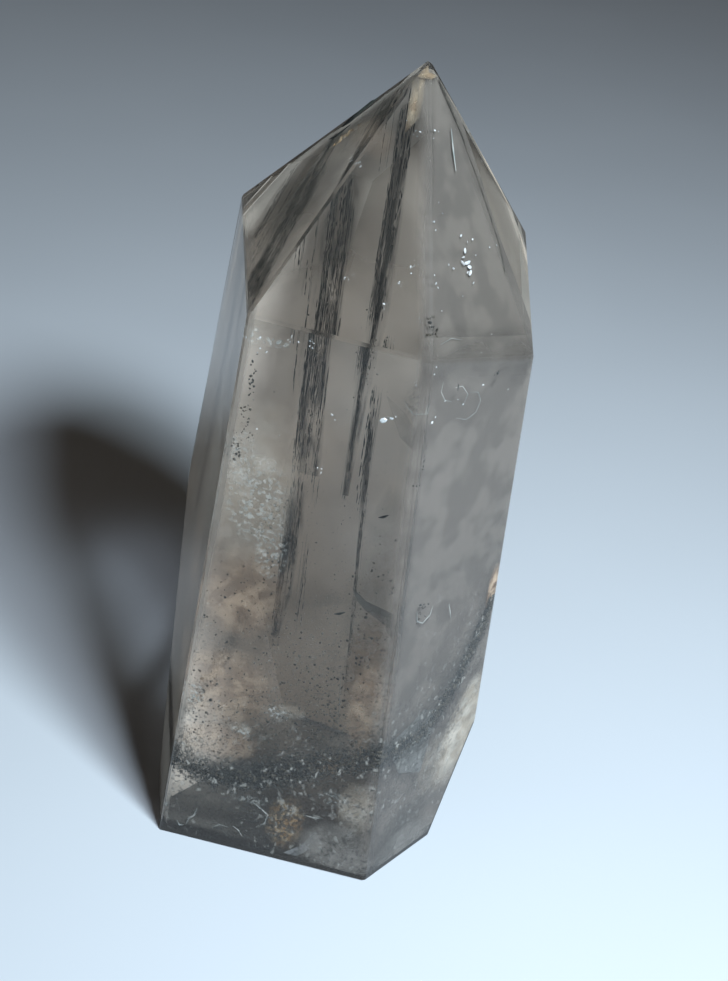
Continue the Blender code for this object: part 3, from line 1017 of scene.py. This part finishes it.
# Places where small bright facets catch the light, painted as glints: white grains stand in for the
# light they reflect
SPARKLES = (
    (4.5, 0.9, 92.0), (5.1, -0.2, 90.3), (5.5, -0.6, 89.5), (2.3, -2.3, 92.1),
    (3.0, -2.1, 92.4), (3.4, -0.8, 92.4), (4.0, -1.4, 91.1), (5.6, 4.6, 90.5),
    (7.5, 5.6, 87.5), (7.2, -2.5, 85.5), (6.6, -4.8, 84.7), (7.9, -4.5, 82.9),
    (8.3, -3.1, 83.4), (8.7, -3.8, 82.4), (8.9, -5.6, 80.7), (8.5, -5.8, 81.1),
    (9.4, -5.4, 80.0), (9.7, -3.8, 80.9), (7.8, -7.8, 80.7), (7.2, -8.4, 81.2),
    (5.0, -10.4, 81.6), (6.2, -11.3, 80.6), (6.9, -11.4, 80.2), (10.1, -6.1, 78.6),
    (4.1, -11.8, 79.9), (5.2, -7.4, 85.4), (5.7, -7.9, 84.8), (10.7, -1.6, 81.0),
    (11.4, -0.5, 80.8), (13.0, 2.4, 78.1), (6.9, -13.7, 77.3), (7.6, -12.1, 77.9),
    (3.1, -13.3, 78.0), (9.3, -8.4, 78.0), (8.6, -14.5, 72.9), (7.6, -14.6, 71.5),
    (8.3, -11.5, 74.7), (9.2, -12.7, 68.8), (10.6, -10.7, 68.2), (12.7, -7.7, 68.7),
    (5.4, -14.8, 66.7), (6.1, -14.8, 67.1), (8.2, -14.4, 67.3), (11.8, -8.4, 71.9),
    (-0.9, -15.3, 58.8), (-0.5, -14.9, 65.6), (-1.8, -11.0, 78.7), (-2.7, -3.5, 88.4),
    (-1.2, -10.7, 79.1), (-6.0, -14.5, 73.3), (-8.9, -14.6, 71.4), (-3.7, -14.5, 73.5),
)
# Larger white flakes, also painted glints: x, y, z, size
FLAKES = (
    (9.3, -6.4, 82.6, 0.40), (9.8, -6.8, 81.5, 0.55), (10.3, -7.1, 80.6, 0.40),
    (9.4, -7.5, 81.7, 0.36), (8.6, -6.0, 84.0, 0.24), (9.1, -6.9, 82.0, 0.36),
    (5.1, -17.1, 67.5, 0.42), (5.9, -17.0, 67.9, 0.30), (9.2, -16.5, 67.8, 0.26),
    (9.4, -16.1, 68.3, 0.20), (2.9, -14.1, 78.4, 0.30), (4.7, -11.4, 81.7, 0.20),
    (4.9, -11.8, 81.2, 0.16), (3.9, -12.6, 80.2, 0.16), (6.9, -12.1, 80.8, 0.24),
    (6.4, -11.7, 81.4, 0.18), (8.0, -8.8, 81.2, 0.22), (7.5, -9.2, 81.7, 0.12),
    (8.6, -6.9, 81.7, 0.20), (9.0, -6.8, 81.2, 0.26), (9.5, -6.5, 80.7, 0.34),
    (9.4, -7.1, 80.3, 0.24), (10.2, -7.0, 79.2, 0.22), (9.8, -4.9, 81.4, 0.14),
    (11.0, -2.4, 81.5, 0.12), (11.6, -1.3, 81.3, 0.14), (9.5, -9.3, 78.6, 0.14),
    (6.7, -14.4, 77.8, 0.18), (7.9, -13.0, 78.3, 0.14), (13.2, -7.8, 74.2, 0.10),
    (12.6, -10.4, 73.2, 0.10), (8.5, -16.7, 73.6, 0.18), (8.8, -16.7, 74.4, 0.14),
    (7.8, -16.8, 72.3, 0.18), (13.4, -10.0, 69.8, 0.18), (16.1, -6.3, 67.8, 0.10),
    (10.0, -15.0, 69.8, 0.12), (11.2, -13.3, 69.3, 0.20), (11.8, -12.5, 68.4, 0.14),
    (8.7, -5.2, 82.8, 0.16), (9.1, -4.3, 82.8, 0.14), (5.7, -6.8, 86.0, 0.10),
    (5.1, -6.6, 87.0, 0.10), (5.1, -8.4, 85.6, 0.16), (5.6, -8.8, 85.0, 0.12),
    (-8.8, -16.7, 73.9, 0.16), (-10.4, -16.8, 73.3, 0.18), (-8.0, -16.8, 72.4, 0.16),
    (-4.8, -16.7, 74.3, 0.12), (-3.6, -16.7, 74.1, 0.14), (-8.1, -17.3, 63.2, 0.12),
    (-0.6, -17.5, 59.6, 0.14), (0.7, -0.8, 95.5, 0.12), (1.0, -2.5, 93.3, 0.12),
    (2.0, -3.3, 92.3, 0.16), (2.6, -3.0, 92.6, 0.18), (3.3, -2.7, 93.0, 0.16),
    (3.5, -2.2, 92.7, 0.14), (3.2, -3.3, 92.3, 0.12), (-1.7, -3.9, 91.3, 0.12),
)
# White curls, ticks and thin lines: each a chain of points, then its thickness
CURLS = (
    (((5.2, -0.6, 93.0), (5.9, -1.7, 91.1), (6.6, -2.6, 89.4)), 0.20),
    (((-11.9, -20.3, 1.3), (-11.6, -20.3, 2.6), (-10.9, -20.3, 3.4), (-10.6, -20.3, 4.8)), 0.22),
    (((-13.2, -20.4, 1.7), (-12.8, -20.4, 0.9), (-12.2, -20.4, 1.1)), 0.26),
    (((-8.4, -20.3, 1.9), (-7.4, -20.3, 2.8), (-6.3, -20.3, 2.7)), 0.16),
    (((-5.6, -20.3, 3.2), (-4.8, -20.3, 2.6), (-4.2, -20.3, 1.6)), 0.16),
    (((-3.6, -20.3, 8.6), (-2.2, -20.3, 7.6), (-1.2, -20.3, 6.8), (-1.5, -20.3, 5.2),
      (-2.0, -20.3, 4.6)), 0.17),
    (((3.6, -20.3, 8.4), (4.8, -20.3, 8.3), (5.9, -20.3, 8.6)), 0.16),
    (((14.9, -11.0, 40.1), (15.2, -10.7, 38.8), (15.5, -10.5, 37.5)), 0.14),
    (((9.9, -15.5, 72.1), (9.9, -15.7, 71.0), (10.4, -15.1, 69.8), (11.1, -14.1, 69.2)), 0.06),
    (((11.1, -13.9, 70.8), (11.8, -12.8, 70.6), (12.5, -12.0, 69.3), (12.3, -12.4, 68.3)), 0.07),
    (((12.7, -11.8, 69.5), (13.5, -10.6, 69.0), (13.9, -10.1, 67.8), (13.7, -10.6, 66.5),
      (12.8, -11.9, 66.1), (11.8, -13.3, 66.9)), 0.05),
    (((8.9, -15.2, 75.8), (9.8, -13.3, 75.8), (10.8, -12.1, 75.2)), 0.05),
    (((7.0, -17.3, 69.8), (8.0, -17.4, 68.8), (9.1, -17.4, 69.1), (9.0, -17.0, 70.1)), 0.05),
    (((11.4, -15.5, 41.6), (11.6, -15.3, 40.0), (12.3, -14.6, 39.3), (13.0, -13.7, 40.0),
      (13.1, -13.4, 41.2)), 0.13),
    (((10.8, -16.2, 35.1), (11.3, -15.9, 32.0), (11.7, -15.6, 29.5), (12.3, -15.3, 25.1)), 0.06),
    (((4.7, -12.4, 29.6), (5.2, -12.7, 24.3), (5.6, -13.0, 19.5)), 0.06),
    (((12.9, -15.2, 16.4), (14.4, -13.6, 18.6)), 0.07),
    (((11.6, -17.6, 8.8), (13.0, -16.2, 9.6), (14.0, -15.0, 10.8)), 0.14),
    (((15.4, -12.2, 12.8), (14.6, -13.0, 10.4), (14.8, -12.8, 8.0), (15.6, -12.0, 6.4)), 0.1),
)


FLAKE_DEPTH = 0.6                   # how far the flakes lie under the faces
SPARKLE_SPREAD = 0.22
SMALLEST_SPARKLE, LARGEST_SPARKLE = 0.03, 0.11


def sparkles():
    # Painted glints: plain white diffuse grains instead of facets that reflect the lamps
    mat = mineral("sparkle_white", (0.80, 0.80, 0.80), (0.55, 0.58, 0.6), rough=0.3)
    rng = np.random.default_rng(SEED + 29)
    points, sizes = [], []
    for x, y, z, size in FLAKES:
        p = Vector((x, y, z)) * MM
        depth, outward = min(((place - p).dot(way), way) for place, way in PLANES)
        points.append(tuple(p + outward * (depth - FLAKE_DEPTH * MM)))
        sizes.append(size * 0.8 * MM)
    for place in SPARKLES:
        for i in range(int(rng.integers(3, 8))):
            p = Vector(place) + Vector(rng.normal(0.0, SPARKLE_SPREAD, 3))
            if depth_inside(p * MM) > 0.3 * MM:
                points.append(tuple(p * MM))
                sizes.append(rng.uniform(SMALLEST_SPARKLE, LARGEST_SPARKLE) * MM)
    dressed(grow("sparkles", GRAINS, points, [], sizes, Seed=3, Material=mat,
                 Flattest=(0.5, 0.2, 0.4), Longest=(1.6, 0.5, 1.4)))


def white_curls():
    mat = mineral("curl_white", (0.24, 0.26, 0.25), (0.46, 0.45, 0.42), rough=0.5)
    strokes("white_curls", mat, CURLS)


# Flat plates inside: the pale wedge at the tip, a flake, the fracture and smoky wisps
TIP_WEDGE = (
    (((1.7, 0.5, 98.3), (0.8, -0.5, 97.0), (0.8, -2.0, 95.2), (1.1, -3.9, 92.7),
      (2.2, -2.6, 94.2), (2.1, -0.9, 96.3)), 1.3),
    (((1.9, 0.2, 98.8), (1.1, -0.5, 97.6), (2.8, -0.5, 97.6), (3.0, 0.6, 97.7),
      (1.2, 0.9, 97.9)), 2.0),
)
WHITE_FLAKE = (
    (((1.5, -20.4, 0.6), (3.6, -20.4, 2.6), (5.3, -20.4, 6.0), (5.9, -20.4, 4.6),
      (5.0, -20.4, 2.6), (3.3, -20.4, 0.5)), 1.0),
)
FRACTURE = (
    (((4.4, -12.5, 42.6), (5.8, -12.6, 41.2), (8.5, -12.7, 40.5), (10.6, -12.8, 39.9),
      (10.5, -12.9, 37.6), (8.4, -12.8, 38.6), (6.4, -12.7, 39.7), (5.2, -12.6, 40.8)), 1.0),
    (((9.1, -17.7, 42.4), (10.8, -15.7, 38.9), (12.4, -13.8, 35.2), (10.7, -15.9, 37.4),
      (9.3, -17.6, 40.0)), 0.9),
)
SMOKE = (
    (((11.8, -19.2, 22.6), (13.7, -17.3, 16.3), (16.4, -13.8, 13.8), (16.6, -13.0, 18.0),
      (16.9, -11.9, 23.6), (15.2, -14.1, 25.0), (13.4, -16.8, 23.5)), 1.7),
    (((4.6, -11.9, 68.3), (7.0, -12.0, 66.6), (9.0, -12.1, 64.0), (8.6, -12.1, 62.2),
      (6.8, -12.0, 63.6)), 1.0),
    (((6.4, -11.9, 68.3), (8.2, -12.0, 67.0), (9.8, -12.0, 66.4), (8.4, -12.0, 66.0)), 0.8),
    (((7.5, -10.9, 67.4), (9.8, -8.4, 64.6), (11.6, -6.0, 60.2), (10.2, -7.8, 60.4),
      (8.6, -9.6, 63.2)), 0.9),
)


def white_flake():
    mat = mineral("flake_white", (0.36, 0.37, 0.37), (0.52, 0.52, 0.52), rough=0.4,
                  cover=patchy(700.0, 0.3, 0.6, 0.55, 0.95))
    plates("white_flake", mat, WHITE_FLAKE)


def tip_wedge():
    mat = mineral("wedge_beige", (0.27, 0.185, 0.11), (0.36, 0.28, 0.19), 600.0, 0.7,
                  patchy(700.0, 0.3, 0.7, 0.35, 0.75))
    plates("tip_wedge", mat, TIP_WEDGE, rim=0.25)


def fracture():
    mat = mineral("fracture_grey", (0.05, 0.045, 0.035), (0.13, 0.12, 0.10), 500.0, 0.3,
                  patchy(350.0, 0.3, 0.6, 0.45, 0.95))
    plates("fracture", mat, FRACTURE)


def smoke_wisps():
    mat = mineral("smoke_grey", (0.12, 0.12, 0.11), (0.2, 0.2, 0.19), rough=0.5,
                  cover=patchy(250.0, 0.3, 0.65, 0.1, 0.5))
    plates("smoke_wisps", mat, SMOKE)


# Cloudy veils under the faces. The veils under the faces turned to the lamps are toned dark, and a
# dark veil lies under the left tip face: painted shade. Distances from the foot are heights.
BACK_CLOUDS = (
    (REAR, 2.0, 1.0, ()),
    (LEFT_REAR, 2.0, 1.0, ((LEFT, 0.5, 2.0),)),
    (BEVEL_LEFT, 2.0, 1.0, ((LEFT, 0.5, 2.0),)),
    (LEFT, 1.2, 0.60, ((FRONT, 1.0, 2.6), (TIP_LEFT, 0.6, 2.0))),
)
RIGHT_CLOUDS_PAINTED_SHADE = (
    (RIGHT, 2.4, 0.97, ((FRONT, 1.6, 3.4), (TIP_RIGHT, 0.8, 2.2))),
)
TIP_CLOUDS_PAINTED_SHADE = (
    (TIP_RIGHT, 1.4, 0.97, ((TIP_FRONT, 0.7, 1.9), (RIGHT, 0.7, 2.0))),
)
TIP_BACK = (
    (TIP_LEFT_REAR, 0.6, 1.0, ((TIP_LEFT, 0.4, 1.2),)),
    (TIP_REAR, 0.6, 1.0, ((TIP_RIGHT_REAR, 0.4, 1.2),)),
    (REAR, 3.2, 0.62, ((FOOT, 58.0, 74.0),)),
    (LEFT_REAR, 3.0, 0.8, ((FOOT, 62.0, 72.0),)),
    (RIGHT_REAR, 1.6, 0.8, ((RIGHT, 2.0, 4.5),)),
    (BEVEL_RIGHT, 1.6, 0.8, ((RIGHT, 2.0, 4.5),)),
)
TIP_SHADE = (
    (TIP_LEFT, 1.0, 0.48, ((TIP_FRONT, 1.2, 2.4), (LEFT, 0.6, 2.0))),
)


def back_clouds():
    """These veils throw no shadow, so that the lamps' light passes on to the table."""
    mat = mineral("cloud_grey", (0.80, 0.705, 0.61), (0.93, 0.825, 0.72), 90.0,
                  cover=patchy(70.0, 0.25, 0.75, 0.86, 1.0))
    face_veils("back_clouds", mat, BACK_CLOUDS).visible_shadow = False


# Painted shade: the cloudy veil of the back in a much darker tone, under the face turned to the
# lamps
def right_clouds_painted_shade():
    mat = mineral("cloud_right_painted_shade", (0.124, 0.105, 0.090), (0.176, 0.150, 0.129), 260.0,
                  cover=patchy(90.0, 0.25, 0.75, 0.90, 1.0))
    face_veils("right_clouds_painted_shade", mat, RIGHT_CLOUDS_PAINTED_SHADE)


# Painted shade: the cloudy veil in a much darker tone, under the tip face turned to the lamps
def tip_clouds_painted_shade():
    mat = mineral("cloud_tip_painted_shade", (0.102, 0.087, 0.075), (0.138, 0.118, 0.101), 260.0,
                  cover=patchy(90.0, 0.25, 0.75, 0.90, 1.0))
    face_veils("tip_clouds_painted_shade", mat, TIP_CLOUDS_PAINTED_SHADE)


def tip_back():
    mat = mineral("cloud_back", (0.52, 0.46, 0.395), (0.64, 0.57, 0.49), 120.0,
                  cover=patchy(90.0, 0.25, 0.75, 0.8, 1.0))
    face_veils("tip_back", mat, TIP_BACK)


def tip_shade():
    mat = mineral("shade_olive", (0.05, 0.05, 0.042), (0.08, 0.078, 0.066), 120.0,
                  cover=patchy(160.0, 0.2, 0.8, 0.6, 1.0))
    face_veils("tip_shade", mat, TIP_SHADE)


FOOT_MIDDLE = Vector((0.0, 0.0, 2.5))
FOOT_HALF = 26.0
FOOT_SLOPE = Vector((0.0, 1.0, 0.06)).normalized()
FOOT_ROLL, FOOT_ROLL_SCALE = 0.9, 0.07
FOOT_INSET, FOOT_FULL = 0.8, 4.0    # under the faces: where the veil starts and where it is full


def foot_clouds():
    """One wide uneven veil over the foot that rolls gently and thins out towards the faces."""
    mat = mineral("cloud_foot", (0.42, 0.385, 0.34), (0.60, 0.55, 0.49), 160.0,
                  cover=patchy(120.0, 0.25, 0.75, 0.72, 0.95))
    across = Vector(SIDEWAYS)

    def at(s, t):
        place = FOOT_MIDDLE + across * (s * FOOT_HALF) + FOOT_SLOPE * (t * FOOT_HALF)
        place += across.cross(FOOT_SLOPE) * FOOT_ROLL * noise.noise(place * FOOT_ROLL_SCALE)
        return place, share_between(depth_inside(place * MM) / MM, FOOT_INSET, FOOT_FULL)

    bm, layer = new_sheets()
    add_net(bm, layer, VEIL_CELLS, at)
    trimmed_sheet("foot_clouds", bm, FOOT_INSET, mat)


# Table, lamps, room and camera
def floor():
    bm = bmesh.new()
    bmesh.ops.create_grid(bm, x_segments=2, y_segments=2, size=2.5)
    obj = new_piece("table", bm)
    obj.data.materials.append(mineral("pale_table", (0.76, 0.79, 0.82), (0.78, 0.81, 0.84), 9.0,
                                      0.75))


def area_light(name, place, target, size, power, colour):
    light = bpy.data.lights.new(name, "AREA")
    light.shape = "DISK"
    light.size = size
    light.energy = power
    light.color = colour
    obj = new_object(name, light)
    obj.location = Vector(place)
    aim = Vector(target) - Vector(place)
    obj.rotation_euler = aim.to_track_quat("-Z", "Y").to_euler()


def surroundings():
    world = bpy.data.worlds.new("room")
    bpy.context.scene.world = world
    world.use_nodes = True
    fill(world.node_tree, world.node_tree.nodes["Background"],
         {"Color": (1.0, 0.86, 0.72, 1.0), "Strength": 0.030})
    area_light("window", (0.312, -0.376, 0.532), (0.150, 0.026, 0.0), 0.122, 2.55,
               (0.759, 0.872, 1.0))
    area_light("lamp", (0.108, -0.094, 0.220), (-0.028, 0.021, 0.0), 0.045, 0.60,
               (0.752, 0.893, 1.0))


EYE = (16.81, -132.69, 138.95)      # where the photograph was taken from
PITCH, TURN, ROLL = math.radians(35.0), math.radians(6.26), math.radians(9.0)
FOCAL_PIXELS = 1300.0
PHOTO_HEIGHT_PIXELS = 981.0
SENSOR = 36.0


def camera():
    data = bpy.data.cameras.new("camera")
    data.lens = FOCAL_PIXELS * SENSOR / PHOTO_HEIGHT_PIXELS
    data.sensor_width = SENSOR
    data.clip_start = 0.01
    obj = new_object("camera", data)
    ahead = Vector((-math.sin(TURN) * math.cos(PITCH), math.cos(TURN) * math.cos(PITCH),
                    -math.sin(PITCH)))
    right = ahead.cross(Vector((0, 0, 1))).normalized()
    up = right.cross(ahead)
    x = right * math.cos(ROLL) + up * math.sin(ROLL)
    y = -right * math.sin(ROLL) + up * math.cos(ROLL)
    turned = Matrix((x, y, -ahead)).transposed().to_4x4()
    obj.matrix_world = Matrix.Translation(Vector(EYE) * MM) @ turned
    bpy.context.scene.camera = obj


scene = bpy.context.scene
scene.view_settings.view_transform = "Standard"
scene.cycles.transparent_max_bounces = 36
scene.cycles.transmission_bounces = 10
scene.cycles.max_bounces = 12
surroundings()
floor()
camera()
quartz_crystal()
needles("needles_left", LEFT_NEEDLES, NEEDLE_LEAN, SEED + 1, "tourmaline_bundle_left")
needles("needles_right", RIGHT_NEEDLES, RIGHT_LEAN, SEED + 2, "tourmaline_bundle_right")
needles("stray_needles", STRAY_NEEDLES, NEEDLE_LEAN, SEED + 3)
needle_shade()
dark_dashes()
tourmaline_specks()
phantom_rim()
tan_stains()
orange_stains()
olive_shade()
frost()
pale_patches()
edge_streak()
pale_grain()
dust("dark_dust", SPECK_BLACK, 2600, 0.065, 5, 3.0, 75.0)
pale_dust()
sparkles()
white_curls()
white_flake()
tip_wedge()
fracture()
smoke_wisps()
back_clouds()
right_clouds_painted_shade()
tip_clouds_painted_shade()
tip_back()
tip_shade()
face_veils("front_grain", GRAIN_DARK, FRONT_GRAIN, GRAIN_CELLS, around_margin)
face_veils("right_grain", GRAIN_DARK, RIGHT_GRAIN, GRAIN_CELLS, around_margin)
foot_haze()
foot_clouds()
